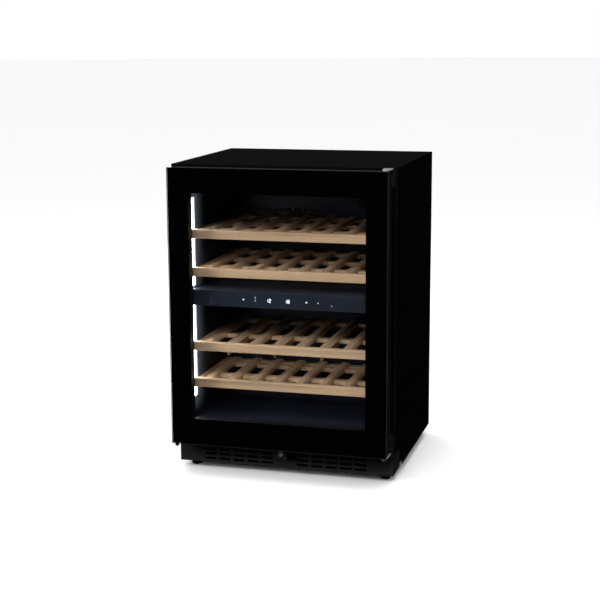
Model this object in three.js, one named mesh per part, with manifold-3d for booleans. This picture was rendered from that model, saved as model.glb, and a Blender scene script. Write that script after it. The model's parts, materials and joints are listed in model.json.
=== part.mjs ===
// Under-counter wine cooler with two cooled zones and a glass door, in millimetres.
// X runs to the right, Y from the door to the back and Z up.
// The origin is on the floor, under the middle of the cooler.

import * as THREE from "three";
import { mergeVertices } from "three/addons/utils/BufferGeometryUtils.js";
import Module from "manifold-3d";

const wasm = await Module();
wasm.setup();

// ---------------------------------------------------------------------------
// Driving dimensions. Distances called front, back or reach are measured
// backwards from the door's glass face; the function y() turns them into Y.

const WIDTH = 595;
const HEIGHT = 820;
const DEPTH = 565;
const HALF = WIDTH / 2;
const GAP = 0.3;
const SHEET = 1.2;

const cabinet = { front: 62, flange: 14, sideBottom: 27, notchTop: 84, notchBack: 162 };
const faceFrame = { halfWidth: 283.2, bottom: 84.3, top: 805.7, thickness: 6 };
const cavity = { halfWidth: 257, floor: 130, ceiling: 775, back: 512.5, wall: 2.5 };
const step = { front: 375, top: 300 };
const basePan = { halfWidth: 288, front: 80, back: 561, floor: 24, thickness: 2, rim: 18 };
const plinth = { halfWidth: 291.5, front: 74, bottom: 20, top: 82, thickness: 1.5, lip: 12 };
const vents = {
  columns: 5, rows: 3, width: 31, height: 5.5, inner: 33, pitchX: 39.25, lowest: 31, pitchZ: 13,
};
const hingeSlots = { inner: 239, outer: 283, bottom: 66, top: 69.5 };
const crossbar = { halfWidth: 289.5, front: 78, back: 100, bottom: 60, top: 83.5 };
const foot = { x: 262, front: 119, back: 500, radius: 13, stem: 4.8, top: 42 };

const door = { halfWidth: 288.5, bottom: 88, top: 817, glass: 4, frameBack: 54 };
const doorFrame = { halfWidth: 286.5, bottom: 91, top: 814, window: 240, windowBottom: 150, windowTop: 759 };
const glazing = { halfWidth: 250, bottom: 140, top: 769, spacer: 12, pane: 4, spacerWidth: 8 };
const gasket = { halfWidth: 266.5, bottom: 112, top: 795, width: 12, tongue: 4 };
const hinge = { x: 279.5, reach: 17, pin: 3, bush: 5, leaf: 2.5, innerX: 256, outerX: 291, height: 47.5 };
const plug = { radius: 5.5, bottom: 77 };
const lock = { halfWidth: 13, front: 40, bottom: 56, top: 83, axis: 69, radius: 7, proud: 3.5 };

const divider = { bottom: 446, top: 489, front: 80 };
const panel = { halfWidth: 250, bottom: 447.5, top: 487.5, thickness: 3 };
const board = { halfWidth: 115, bottom: 455, top: 480 };
const strip = { front: 84, width: 34, thickness: 3, ranges: { lower: [195, 442], upper: [495, 728] } };

const shelf = {
  halfWidth: 253, front: 76, railHeight: 24, railDepth: 18, sideWidth: 14, back: 462, shortBack: 364,
};
const shelfTops = [648, 547, 348, 249];
const slats = { count: 8, pitch: 63.5, width: 28, height: 12, chamfer: 5, drop: 4 };
const keel = { width: 30, depth: 37, shelf: 3 };
const crossBars = { depth: 22, plain: [80, 210], keeled: [140] };
const ledge = { reach: 9, height: 8 };

const duct = { halfWidth: 222, front: 472, height: 132, wall: 3, floors: { lower: 305, upper: 638 } };
const coil = { left: -205, right: 55, front: 480, back: 505, fins: 10, fin: 1.2 };
const zoneFan = { x: 140, front: 482, size: 96, depth: 18, bore: 44 };

const machineRoom = { front: 412, top: 262 };
const compressor = { x: 98, reach: 487, radius: 62, stretch: 1.35, bottom: 48, top: 190 };
const condenser = { left: -276, right: -158, front: 422, back: 548, bottom: 46, top: 200, plates: 14 };
const roomFan = { x: -146, reach: 485, z: 116, size: 130, depth: 24, bore: 58 };
const rearCover = { bottom: 27, top: 289 };

const y = (reach) => reach - DEPTH / 2;

// ---------------------------------------------------------------------------
// Shape helpers

// A closed three.js geometry as a solid that can be joined and cut.
function solidFrom(geometry) {
  const bare = geometry.clone();
  bare.deleteAttribute("normal");
  bare.deleteAttribute("uv");
  const merged = mergeVertices(bare, 1e-4);
  const vertProperties = new Float32Array(merged.attributes.position.array);
  const triVerts = new Uint32Array(merged.index.array);
  return new wasm.Manifold(new wasm.Mesh({ numProp: 3, vertProperties, triVerts }));
}

function geometryFrom(solid) {
  const { vertProperties, triVerts } = solid.getMesh();
  const geometry = new THREE.BufferGeometry();
  geometry.setAttribute("position", new THREE.BufferAttribute(vertProperties, 3));
  geometry.setIndex(new THREE.BufferAttribute(triVerts, 1));
  return geometry;
}

// A block between two opposite corners.
function block(low, high) {
  const size = high.map((value, axis) => value - low[axis]);
  const geometry = new THREE.BoxGeometry(...size);
  geometry.translate(...low.map((value, axis) => value + size[axis] / 2));
  return solidFrom(geometry);
}

// A round bar of the given radius between two points.
function rod(radius, start, end, sides = 20) {
  const from = new THREE.Vector3(...start);
  const along = new THREE.Vector3(...end).sub(from);
  const geometry = new THREE.CylinderGeometry(radius, radius, along.length(), sides);
  const upright = new THREE.Vector3(0, 1, 0);
  const turn = new THREE.Quaternion().setFromUnitVectors(upright, along.clone().normalize());
  geometry.applyQuaternion(turn);
  geometry.translate(...from.addScaledVector(along, 0.5));
  return solidFrom(geometry);
}

// A body of revolution about Z. The profile lists [radius, z] from the bottom point on the
// axis to the top one.
function turned(profile, sides = 20) {
  const points = profile.map(([radius, z]) => new THREE.Vector2(radius, z));
  const geometry = new THREE.LatheGeometry(points, sides);
  geometry.rotateX(Math.PI / 2);
  return solidFrom(geometry);
}

// Directions that carry a drawn outline and its extrusion onto each axis.
const alongAxis = {
  x: new THREE.Matrix4().makeBasis(
    new THREE.Vector3(0, 1, 0), new THREE.Vector3(0, 0, 1), new THREE.Vector3(1, 0, 0)),
  y: new THREE.Matrix4().makeBasis(
    new THREE.Vector3(1, 0, 0), new THREE.Vector3(0, 0, 1), new THREE.Vector3(0, -1, 0)),
  z: new THREE.Matrix4(),
};

// An outline pushed along an axis. It is drawn in (y, z) for x, in (x, z) for y and in (x, y) for z.
function extruded(axis, shape, from, to) {
  const settings = { depth: to - from, bevelEnabled: false, curveSegments: 2 };
  const geometry = new THREE.ExtrudeGeometry(shape, settings);
  geometry.applyMatrix4(alongAxis[axis]);
  if (axis === "x") geometry.translate(from, 0, 0);
  if (axis === "y") geometry.translate(0, to, 0);
  if (axis === "z") geometry.translate(0, 0, from);
  return solidFrom(geometry);
}

function outline(points) {
  return new THREE.Shape(points.map(([across, up]) => new THREE.Vector2(across, up)));
}

// The X range from near to far on the left (-1) or right (1) side.
function between(side, near, far) {
  return side < 0 ? [-far, -near] : [near, far];
}

function roundedRectangle(left, bottom, right, top, radius) {
  const path = new THREE.Shape();
  path.absarc(right - radius, bottom + radius, radius, -Math.PI / 2, 0);
  path.absarc(right - radius, top - radius, radius, 0, Math.PI / 2);
  path.absarc(left + radius, top - radius, radius, Math.PI / 2, Math.PI);
  path.absarc(left + radius, bottom + radius, radius, Math.PI, Math.PI * 1.5);
  path.closePath();
  return path;
}

// A rectangular ring that stands across Y, between two reaches.
function ring(halfWidth, bottom, top, width, front, back) {
  const outer = block([-halfWidth, y(front), bottom], [halfWidth, y(back), top]);
  const inner = [halfWidth - width, bottom + width, top - width];
  return outer.subtract(block([-inner[0], y(front) - 1, inner[1]], [inner[0], y(back) + 1, inner[2]]));
}

function union(solids) {
  return solids.reduce((whole, solid) => whole.add(solid));
}

// ---------------------------------------------------------------------------
// Materials

const materials = {
  blackSteel: new THREE.MeshStandardMaterial({ color: 0x0c0c0d, roughness: 0.45, metalness: 0.1 }),
  greySteel: new THREE.MeshStandardMaterial({ color: 0x3a3b3d, roughness: 0.5, metalness: 0.1 }),
  zincSteel: new THREE.MeshStandardMaterial({ color: 0x9a9da0, roughness: 0.35, metalness: 0.9 }),
  brightSteel: new THREE.MeshStandardMaterial({ color: 0xc4c6c8, roughness: 0.2, metalness: 1.0 }),
  aluminium: new THREE.MeshStandardMaterial({ color: 0xb8bbbe, roughness: 0.35, metalness: 0.95 }),
  copper: new THREE.MeshStandardMaterial({ color: 0xb06a42, roughness: 0.3, metalness: 1.0 }),
  blackPlastic: new THREE.MeshStandardMaterial({ color: 0x101113, roughness: 0.5, metalness: 0.0 }),
  linerPlastic: new THREE.MeshStandardMaterial({ color: 0x1a1d22, roughness: 0.35, metalness: 0.0 }),
  foam: new THREE.MeshStandardMaterial({ color: 0xe0d3a4, roughness: 0.9, metalness: 0.0 }),
  rubber: new THREE.MeshStandardMaterial({ color: 0x0b0b0b, roughness: 0.8, metalness: 0.0 }),
  beech: new THREE.MeshStandardMaterial({ color: 0xd2b48c, roughness: 0.55, metalness: 0.0 }),
  glass: new THREE.MeshStandardMaterial({ color: 0x0a0c10, roughness: 0.03, metalness: 0.0 }),
  lamp: new THREE.MeshStandardMaterial({ color: 0xf2f8ff, roughness: 0.3, metalness: 0.0 }),
  circuit: new THREE.MeshStandardMaterial({ color: 0x1d5a35, roughness: 0.5, metalness: 0.1 }),
};

const cooler = new THREE.Group();

function add(name, solid, material, parent = cooler) {
  const mesh = new THREE.Mesh(geometryFrom(solid), materials[material]);
  mesh.name = name;
  parent.add(mesh);
  return mesh;
}

// ---------------------------------------------------------------------------
// Cabinet

// Left side, top and right side folded from one sheet, with edges turned in at the front and the back.
function cabinetWrap() {
  const front = cabinet.front;
  const low = cabinet.sideBottom;
  const inside = HALF - SHEET;
  const outer = block([-HALF, y(front), low], [HALF, y(DEPTH), HEIGHT]);
  let wrap = outer.subtract(block([-inside, y(front) - 1, low - 1], [inside, y(DEPTH) + 1, HEIGHT - SHEET]));
  const opening = HALF - cabinet.flange;
  for (const edge of [front, DEPTH - SHEET]) {
    const flange = block([-HALF, y(edge), low], [HALF, y(edge + SHEET), HEIGHT]);
    const top = HEIGHT - cabinet.flange;
    const cut = block([-opening, y(edge) - 1, low - 1], [opening, y(edge + SHEET) + 1, top]);
    wrap = wrap.add(flange.subtract(cut));
  }
  const toeBack = y(cabinet.notchBack);
  const toeKick = block([-HALF - 1, y(front) - 1, low - 1], [HALF + 1, toeBack, cabinet.notchTop]);
  return wrap.subtract(toeKick);
}

// Flat frame round the mouth of the cavity, which the gasket closes on.
function frontFrame() {
  const { halfWidth, bottom, top, thickness } = faceFrame;
  const plate = block([-halfWidth, y(cabinet.front), bottom], [halfWidth, y(cabinet.front + thickness), top]);
  const mouth = block(
    [-cavity.halfWidth, y(cabinet.front) - 1, cavity.floor],
    [cavity.halfWidth, y(cabinet.front + thickness) + 1, cavity.ceiling]);
  return plate.subtract(mouth);
}

// The room inside the liner, grown outwards by a margin; a step at the back clears the machine room.
function cavitySpace(margin, front) {
  const wide = cavity.halfWidth + margin;
  const low = cavity.floor - margin;
  const room = block([-wide, y(front), low], [wide, y(cavity.back + margin), cavity.ceiling + margin]);
  const stepFront = y(step.front + margin);
  const behind = block([-wide - 1, stepFront, low - 1], [wide + 1, y(DEPTH), step.top - margin]);
  return room.subtract(behind);
}

function innerLiner() {
  const front = cabinet.front + faceFrame.thickness + GAP;
  let liner = cavitySpace(cavity.wall, front).subtract(cavitySpace(0, front - 1));
  shelfTops.forEach((top, index) => {
    const high = top - shelf.railHeight + 4 - GAP;
    const start = y(strip.front + strip.width + 3);
    const end = y(index === shelfTops.length - 1 ? step.front + 1 : shelf.back);
    for (const side of [-1, 1]) {
      const edges = between(side, cavity.halfWidth - ledge.reach, cavity.halfWidth + 1);
      liner = liner.add(block([edges[0], start, high - ledge.height], [edges[1], end, high]));
    }
  });
  return liner;
}

function insulationFoam() {
  const front = cabinet.front + faceFrame.thickness + GAP;
  const wide = HALF - SHEET - GAP;
  const body = block([-wide, y(front), cabinet.notchTop + 1], [wide, y(DEPTH - 3), HEIGHT - SHEET - GAP]);
  const room = block([-wide - 1, y(machineRoom.front), 0], [wide + 1, y(DEPTH), machineRoom.top]);
  return body.subtract(cavitySpace(cavity.wall + GAP, front - 1)).subtract(room);
}

function backPanel() {
  const wide = HALF - SHEET - GAP;
  const panelBack = DEPTH - SHEET - GAP;
  return block([-wide, y(panelBack - 1), rearCover.top + GAP], [wide, y(panelBack), HEIGHT - SHEET - GAP]);
}

function basePanTray() {
  const { halfWidth, front, back, floor, thickness, rim } = basePan;
  let tray = block([-halfWidth, y(front), floor], [halfWidth, y(back), floor + thickness]);
  for (const side of [-1, 1]) {
    const edges = between(side, halfWidth - thickness, halfWidth);
    tray = tray.add(block([edges[0], y(front), floor], [edges[1], y(back), floor + rim]));
  }
  for (const [x, reach] of footPlaces()) {
    tray = tray.subtract(rod(foot.stem + 0.4, [x, y(reach), 0], [x, y(reach), floor + rim]));
  }
  return tray;
}

// Cold-formed channel under the face frame, open to the back.
function lowerCrossbar() {
  const { halfWidth, front, back, bottom, top } = crossbar;
  const wall = 2;
  const bar = block([-halfWidth, y(front), bottom], [halfWidth, y(back), top]);
  const inside = block(
    [-halfWidth - 1, y(front + wall), bottom + wall], [halfWidth + 1, y(back) + 1, top - wall]);
  return bar.subtract(inside);
}

// Front sheet: two groups of vent slots, a slot for each hinge, a recess for the lock and two side returns.
function plinthGrille() {
  const { halfWidth, front, bottom, top, thickness, lip } = plinth;
  let grille = block([-halfWidth, y(front), bottom], [halfWidth, y(front + thickness), top]);
  grille = grille.add(block([-halfWidth, y(front), bottom], [halfWidth, y(front + lip), bottom + thickness]));
  const cuts = [[-lock.halfWidth - GAP, lock.halfWidth + GAP, lock.bottom - GAP, top + 1]];
  for (const side of [-1, 1]) {
    const wall = between(side, halfWidth - thickness, halfWidth);
    grille = grille.add(block([wall[0], y(front), bottom], [wall[1], y(cabinet.notchBack - 2), top]));
    cuts.push([...between(side, hingeSlots.inner, hingeSlots.outer), hingeSlots.bottom, hingeSlots.top]);
    for (let column = 0; column < vents.columns; column += 1) {
      const near = vents.inner + column * vents.pitchX;
      for (let row = 0; row < vents.rows; row += 1) {
        const low = vents.lowest + row * vents.pitchZ - vents.height / 2;
        cuts.push([...between(side, near, near + vents.width), low, low + vents.height]);
      }
    }
  }
  for (const [left, right, low, high] of cuts) {
    grille = grille.subtract(block([left, y(front) - 1, low], [right, y(front + thickness) + 1, high]));
  }
  return grille;
}

function footPlaces() {
  return [[-foot.x, foot.front], [foot.x, foot.front], [-foot.x, foot.back], [foot.x, foot.back]];
}

// Screw foot: ribbed pad, lock nut and threaded stem.
function levellingFoot() {
  return turned([
    [0, 0], [foot.radius - 1.5, 0], [foot.radius, 1.5], [foot.radius, 7], [foot.radius - 3, 9],
    [8, 9], [8, 15], [foot.stem, 15], [foot.stem, foot.top], [0, foot.top],
  ]);
}

function addCabinet() {
  add("cabinet_wrap", cabinetWrap(), "blackSteel");
  add("front_frame", frontFrame(), "blackPlastic");
  add("inner_liner", innerLiner(), "linerPlastic");
  add("insulation_foam", insulationFoam(), "foam");
  add("back_panel", backPanel(), "zincSteel");
  add("base_pan", basePanTray(), "zincSteel");
  add("lower_crossbar", lowerCrossbar(), "greySteel");
  add("plinth_grille", plinthGrille(), "greySteel");
  const names = ["front_left", "front_right", "rear_left", "rear_right"];
  footPlaces().forEach(([x, reach], index) => {
    add(`foot_${names[index]}`, levellingFoot(), "blackPlastic").position.set(x, y(reach), 0);
  });
}

// ---------------------------------------------------------------------------
// Door

function doorGlassOuter() {
  const { halfWidth, bottom, top, glass } = door;
  return extruded("y", roundedRectangle(-halfWidth, bottom, halfWidth, top, 3), y(0), y(glass));
}

function spacerRing() {
  const { halfWidth, bottom, top, spacer, spacerWidth } = glazing;
  return ring(halfWidth, bottom, top, spacerWidth, door.glass + GAP, door.glass + spacer);
}

function innerPane() {
  const { halfWidth, bottom, top, spacer, pane } = glazing;
  const front = door.glass + spacer + GAP;
  return extruded("y", roundedRectangle(-halfWidth, bottom, halfWidth, top, 2), y(front), y(front + pane));
}

// Frame behind the glass: a rebate for the glazing, sockets for the bushes and a pocket for the lock bolt.
function doorFrameRing() {
  const { halfWidth, bottom, top, window, windowBottom, windowTop } = doorFrame;
  const front = y(door.glass + GAP);
  const back = y(door.frameBack);
  let frame = block([-halfWidth, front, bottom], [halfWidth, back, top]);
  frame = frame.subtract(block([-window, front - 1, windowBottom], [window, back + 1, windowTop]));
  const rebateBack = y(door.glass + glazing.spacer + glazing.pane + GAP * 2);
  const rebate = glazing.halfWidth + GAP;
  frame = frame.subtract(block(
    [-rebate, front - 1, glazing.bottom - GAP], [rebate, rebateBack, glazing.top + GAP]));
  const groove = ring(
    gasket.halfWidth - gasket.tongue + GAP,
    gasket.bottom + gasket.tongue - GAP, gasket.top - gasket.tongue + GAP,
    gasket.tongue + GAP * 2, door.frameBack - gasket.tongue, door.frameBack + 1);
  frame = frame.subtract(groove);
  const socket = hinge.bush + GAP;
  for (const [x, low, high] of [
    [hinge.x, bottom - 1, bottom + 16], [-hinge.x, bottom - 1, bottom + 16], [hinge.x, top - 16, top + 1],
  ]) {
    frame = frame.subtract(rod(socket, [x, y(hinge.reach), low], [x, y(hinge.reach), high]));
  }
  const pocket = block([-8, y(lock.front + 6), bottom - 1], [8, y(lock.front + 13), bottom + 9]);
  return frame.subtract(pocket);
}

// Soft magnetic seal: a tongue in the frame's groove and a wide bellows that meets the face frame.
function doorGasket() {
  const { halfWidth, bottom, top, width, tongue } = gasket;
  const lip = ring(halfWidth, bottom, top, width, door.frameBack + GAP, cabinet.front - GAP);
  const root = ring(
    halfWidth - tongue, bottom + tongue, top - tongue, tongue,
    door.frameBack - tongue + GAP, door.frameBack + 1);
  return lip.add(root);
}

// Plain bearing bush with a flange at its open end.
function hingeBush() {
  const length = 14;
  const bore = hinge.pin + 0.1;
  const profile = [[bore, 0], [hinge.bush, 0], [hinge.bush, length], [bore, length], [bore, 0]];
  return turned(profile, 24);
}

function cornerPlug() {
  const { radius, bottom } = plug;
  const height = doorFrame.bottom - GAP - bottom;
  const stemTop = height + 14;
  return turned([
    [0, 0], [radius * 0.6, 0.4], [radius * 0.9, 1.8], [radius, 4], [radius, height],
    [hinge.bush - 0.4, height], [hinge.bush - 0.4, stemTop], [0, stemTop],
  ]);
}

function addDoor() {
  add("door_glass_outer", doorGlassOuter(), "glass");
  add("door_glass_inner", innerPane(), "glass");
  add("glazing_spacer", spacerRing(), "aluminium");
  add("door_frame", doorFrameRing(), "blackPlastic");
  add("door_gasket", doorGasket(), "rubber");
  const place = [hinge.x, y(hinge.reach)];
  add("hinge_bush_top", hingeBush(), "brightSteel").position.set(...place, doorFrame.top - 14);
  add("hinge_bush_bottom", hingeBush(), "brightSteel").position.set(...place, doorFrame.bottom);
  add("door_corner_plug", cornerPlug(), "blackPlastic").position.set(-hinge.x, place[1], plug.bottom);
}

// ---------------------------------------------------------------------------
// Hinges and lock

// An angle bracket: one leaf over or under the door's edge, one on the cabinet's front with a round end.
function hingeBracket(leafLow, endHigh, endLow) {
  const { innerX, outerX, leaf, x, reach } = hinge;
  const leafShape = new THREE.Shape();
  leafShape.moveTo(innerX + 10, y(cabinet.front - GAP));
  leafShape.lineTo(outerX - 2, y(cabinet.front - GAP));
  leafShape.lineTo(outerX - 2, y(reach));
  leafShape.absarc(x, y(reach), outerX - 2 - x, 0, -Math.PI, true);
  leafShape.lineTo(innerX + 10, y(reach + 20));
  leafShape.closePath();
  const arm = extruded("z", leafShape, leafLow, leafLow + leaf);
  const upright = extruded(
    "y", roundedRectangle(x - 7, endLow, outerX + 3, endHigh, 6),
    y(cabinet.front - GAP - leaf), y(cabinet.front - GAP));
  return arm.add(upright);
}

function topHinge() {
  const leafLow = HEIGHT - hinge.leaf - GAP;
  const bracket = hingeBracket(leafLow, HEIGHT - GAP, HEIGHT - hinge.height);
  const pinLow = doorFrame.top - 13;
  const place = [hinge.x, y(hinge.reach)];
  return bracket.add(rod(hinge.pin, [...place, pinLow], [...place, leafLow + 1]));
}

function bottomHinge() {
  const leafLow = door.bottom - hinge.leaf - 1;
  const bracket = hingeBracket(leafLow, 140, 72);
  const place = [hinge.x, y(hinge.reach)];
  return bracket.subtract(rod(hinge.pin + GAP, [...place, 0], [...place, door.bottom]));
}

// Screwed pin with a hexagon head under the lower bracket.
function bottomHingePin() {
  const leafLow = door.bottom - hinge.leaf - 1;
  const place = [hinge.x, y(hinge.reach)];
  const pin = rod(hinge.pin, [...place, leafLow - 3], [...place, doorFrame.bottom + 13]);
  return pin.add(rod(6, [...place, leafLow - 5], [...place, leafLow - GAP], 6));
}

// Case with a bore for the key cylinder and an upright guide for the bolt.
function lockCase() {
  const { halfWidth, front, bottom, top, axis, radius } = lock;
  const outer = roundedRectangle(-halfWidth, bottom, halfWidth, top, 2);
  const body = extruded("y", outer, y(front), y(crossbar.front - GAP));
  const bore = rod(radius + GAP, [0, y(front) - 1, axis], [0, y(front + 5.5), axis]);
  const guide = block([-7, y(front + 5.5), bottom + 3], [7, y(front + 13), top + 1]);
  return body.subtract(bore).subtract(guide);
}

function lockCylinder() {
  const { front, axis, radius } = lock;
  const face = y(front - lock.proud);
  const barrel = rod(radius, [0, face, axis], [0, y(front + 5), axis], 28);
  return barrel.subtract(block([-0.7, face - 1, axis - 3.2], [0.7, face + 4, axis + 3.2]));
}

function lockBolt() {
  const { front, bottom, top } = lock;
  return block([-6.5, y(front + 6.8), bottom + 3.5], [6.5, y(front + 12.2), top]);
}

function addHingesAndLock() {
  add("hinge_top", topHinge(), "zincSteel");
  add("hinge_bottom", bottomHinge(), "zincSteel");
  add("hinge_pin_bottom", bottomHingePin(), "brightSteel");
  add("lock_case", lockCase(), "blackPlastic");
  add("lock_cylinder", lockCylinder(), "brightSteel");
  add("lock_bolt", lockBolt(), "zincSteel");
}

// ---------------------------------------------------------------------------
// Inside the cavity

// Insulated partition between the zones, with a pocket for the control board.
function zoneDivider() {
  const wide = cavity.halfWidth - GAP;
  const body = block([-wide, y(divider.front), divider.bottom], [wide, y(cavity.back - GAP), divider.top]);
  const pocket = board.halfWidth + 5;
  return body.subtract(block(
    [-pocket, y(divider.front) - 1, board.bottom - 3], [pocket, y(divider.front + 9), board.top + 3]));
}

function controlPanel() {
  const back = divider.front - GAP;
  const face = roundedRectangle(-panel.halfWidth, panel.bottom, panel.halfWidth, panel.top, 3);
  return extruded("y", face, y(back - panel.thickness), y(back));
}

function controlBoard() {
  const front = divider.front + 4;
  const middle = (board.bottom + board.top) / 2;
  let card = block([-board.halfWidth, y(front), board.bottom], [board.halfWidth, y(front + 1.6), board.top]);
  for (const x of [-45, 45]) {
    card = card.add(block([x - 14, y(front - 3), middle - 7], [x + 14, y(front + 1), middle + 7]));
  }
  for (const x of [-90, -75, 0, 75, 90]) {
    card = card.add(block([x - 3, y(front - 2), middle - 3], [x + 3, y(front + 1), middle + 3]));
  }
  return card;
}

// Domed light bar on the left wall.
function ledStrip([low, high]) {
  const wall = -cavity.halfWidth + GAP;
  const shape = new THREE.Shape();
  const middle = y(strip.front + strip.width / 2);
  shape.moveTo(wall, middle - strip.width / 2);
  shape.quadraticCurveTo(wall + strip.thickness * 2, middle, wall, middle + strip.width / 2);
  shape.closePath();
  return extruded("z", shape, low, high);
}

// Cover over the evaporator: a tray open to the back, with an air inlet and a round fan grille.
function ductCover() {
  const { halfWidth, front, height, wall } = duct;
  const back = cavity.back - GAP;
  let cover = block([-halfWidth, y(front), 0], [halfWidth, y(back), height]);
  cover = cover.subtract(block(
    [-halfWidth + wall, y(front + wall), wall], [halfWidth - wall, y(back) + 1, height - wall]));
  const middle = height / 2;
  for (let row = -3; row <= 3; row += 1) {
    const z = middle + row * 11;
    const chord = Math.sqrt(zoneFan.bore ** 2 - (row * 11) ** 2);
    const slot = block(
      [zoneFan.x - chord, y(front) - 1, z - 3], [zoneFan.x + chord, y(front + wall) + 1, z + 3]);
    cover = cover.subtract(slot);
  }
  for (let column = 0; column < 6; column += 1) {
    const x = coil.left + 10 + column * 42;
    cover = cover.subtract(block([x, y(front) - 1, 14], [x + 30, y(front + wall) + 1, 20]));
  }
  return cover;
}

// Plate-fin evaporator: upright fins on two flat tubes.
function evaporator() {
  const { left, right, front, back, fins, fin } = coil;
  const low = 16;
  const high = duct.height - 16;
  const parts = [];
  for (let index = 0; index < fins; index += 1) {
    const x = left + (right - left - fin) * index / (fins - 1);
    parts.push(block([x, y(front), low], [x + fin, y(back), high]));
  }
  for (const z of [low + 25, high - 25]) {
    parts.push(block([left, y(front + 9), z - 4], [right, y(back - 8), z + 4]));
  }
  return union(parts);
}

// Square fan frame about the Y axis, with a motor boss on three arms.
function fanFrame(size, depth, bore) {
  const half = size / 2;
  let frame = block([-half, 0, -half], [half, depth, half]);
  frame = frame.subtract(rod(bore, [0, -1, 0], [0, depth + 1, 0], 28));
  const parts = [frame, rod(bore * 0.4, [0, depth - 4, 0], [0, depth, 0], 16)];
  for (let arm = 0; arm < 3; arm += 1) {
    const angle = Math.PI / 2 + arm * Math.PI * 2 / 3;
    const reach = bore + 2;
    parts.push(rod(2, [0, depth - 2, 0], [reach * Math.cos(angle), depth - 2, reach * Math.sin(angle)], 6));
  }
  return union(parts);
}

// Fan wheel about the Y axis: a hub with seven pitched blades.
function fanWheel(depth, bore) {
  const hub = bore * 0.4;
  const length = depth - 5;
  const parts = [rod(hub, [0, 0.5, 0], [0, length, 0], 16)];
  const blades = 7;
  for (let blade = 0; blade < blades; blade += 1) {
    const geometry = new THREE.BoxGeometry(bore - 2 - hub * 0.8, 1.6, bore * 0.42);
    geometry.rotateX(0.35);
    geometry.translate(hub * 0.8 + (bore - 2 - hub * 0.8) / 2 - 0.8, length / 2, 0);
    geometry.rotateY(blade * Math.PI * 2 / blades);
    parts.push(solidFrom(geometry));
  }
  return union(parts).intersect(rod(bore - 2, [0, 0.5, 0], [0, length, 0], 28));
}

function addCavityParts() {
  add("zone_divider", zoneDivider(), "linerPlastic");
  add("control_panel", controlPanel(), "glass");
  add("control_board", controlBoard(), "circuit");
  for (const [zone, range] of Object.entries(strip.ranges)) {
    add(`led_strip_${zone}`, ledStrip(range), "lamp");
  }
  for (const [zone, floor] of Object.entries(duct.floors)) {
    const group = new THREE.Group();
    group.position.z = floor;
    cooler.add(group);
    const fanPlace = [zoneFan.x, y(zoneFan.front), duct.height / 2];
    add(`duct_cover_${zone}`, ductCover(), "linerPlastic", group);
    add(`evaporator_${zone}`, evaporator(), "aluminium", group);
    add(`fan_frame_${zone}`, fanFrame(zoneFan.size, zoneFan.depth, zoneFan.bore), "blackPlastic", group)
      .position.set(...fanPlace);
    add(`fan_wheel_${zone}`, fanWheel(zoneFan.depth, zoneFan.bore), "blackPlastic", group)
      .position.set(...fanPlace);
  }
}

// ---------------------------------------------------------------------------
// Shelves

function slatPlaces() {
  return Array.from({ length: slats.count }, (_, index) => (index - (slats.count - 1) / 2) * slats.pitch);
}

// Front rail with eased edges, drawn across and pushed along X.
function frontRail() {
  const { halfWidth, front, railHeight, railDepth } = shelf;
  const section = roundedRectangle(y(front), -railHeight, y(front + railDepth), 0, 2.5);
  return extruded("x", section, -halfWidth, halfWidth);
}

// Slat with chamfered top edges, so that bottles settle between two of them.
function slat(x, front, back) {
  const { width, height, chamfer, drop } = slats;
  const half = width / 2;
  const section = outline([
    [x - half, -drop - height], [x + half, -drop - height], [x + half, -drop - chamfer],
    [x + half - chamfer, -drop], [x - half + chamfer, -drop], [x - half, -drop - chamfer],
  ]);
  return extruded("y", section, front, back);
}

// Deep three-sided slat whose keel hangs below the front rail.
function keelSlat(x, front, back) {
  const half = keel.width / 2;
  const shoulder = -slats.drop - slats.chamfer;
  const section = outline([[x, -keel.depth], [x + half, shoulder], [x, -slats.drop], [x - half, shoulder]]);
  return extruded("y", section, front, back);
}

// Rack behind the rail: two side bars, the cross bars and the slats.
function shelfRack(shelfBack, hasKeels) {
  const { halfWidth, front, railDepth, sideWidth, railHeight } = shelf;
  const start = y(front + railDepth + GAP);
  const end = y(shelfBack);
  const low = -railHeight + 4;
  const high = -slats.drop - 3;
  const parts = [];
  for (const side of [-1, 1]) {
    const edges = between(side, halfWidth - sideWidth, halfWidth);
    parts.push(block([edges[0], start, low], [edges[1], end, high]));
  }
  const setBack = hasKeels ? crossBars.keeled : crossBars.plain;
  for (const bar of [...setBack.map((gap) => start + gap), end - crossBars.depth]) {
    parts.push(block([-halfWidth + 2, bar, low], [halfWidth - 2, bar + crossBars.depth, high - 3]));
  }
  slatPlaces().forEach((x, index) => {
    const deep = hasKeels && index % 2 === 1;
    parts.push(deep ? keelSlat(x, start, end) : slat(x, start, end));
  });
  return union(parts);
}

function addShelves() {
  shelfTops.forEach((top, index) => {
    const number = index + 1;
    const group = new THREE.Group();
    group.position.z = top;
    cooler.add(group);
    const shelfBack = number === shelfTops.length ? shelf.shortBack : shelf.back;
    add(`shelf_${number}_rail`, frontRail(), "beech", group);
    add(`shelf_${number}_rack`, shelfRack(shelfBack, number === keel.shelf), "beech", group);
  });
}

// ---------------------------------------------------------------------------
// Machine room

function compressorShell() {
  const { radius, stretch, bottom, top } = compressor;
  const height = top - bottom;
  const rim = radius + 4;
  const geometry = new THREE.LatheGeometry([
    [0, 0], [radius * 0.7, 2], [radius * 0.95, 14], [radius, 30], [radius, height * 0.52],
    [rim, height * 0.52], [rim, height * 0.56], [radius, height * 0.56], [radius * 0.97, height * 0.72],
    [radius * 0.8, height * 0.9], [radius * 0.45, height], [0, height],
  ].map(([r, z]) => new THREE.Vector2(r, z)), 24);
  geometry.rotateX(Math.PI / 2);
  geometry.scale(stretch, 1, 1);
  return solidFrom(geometry);
}

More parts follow.
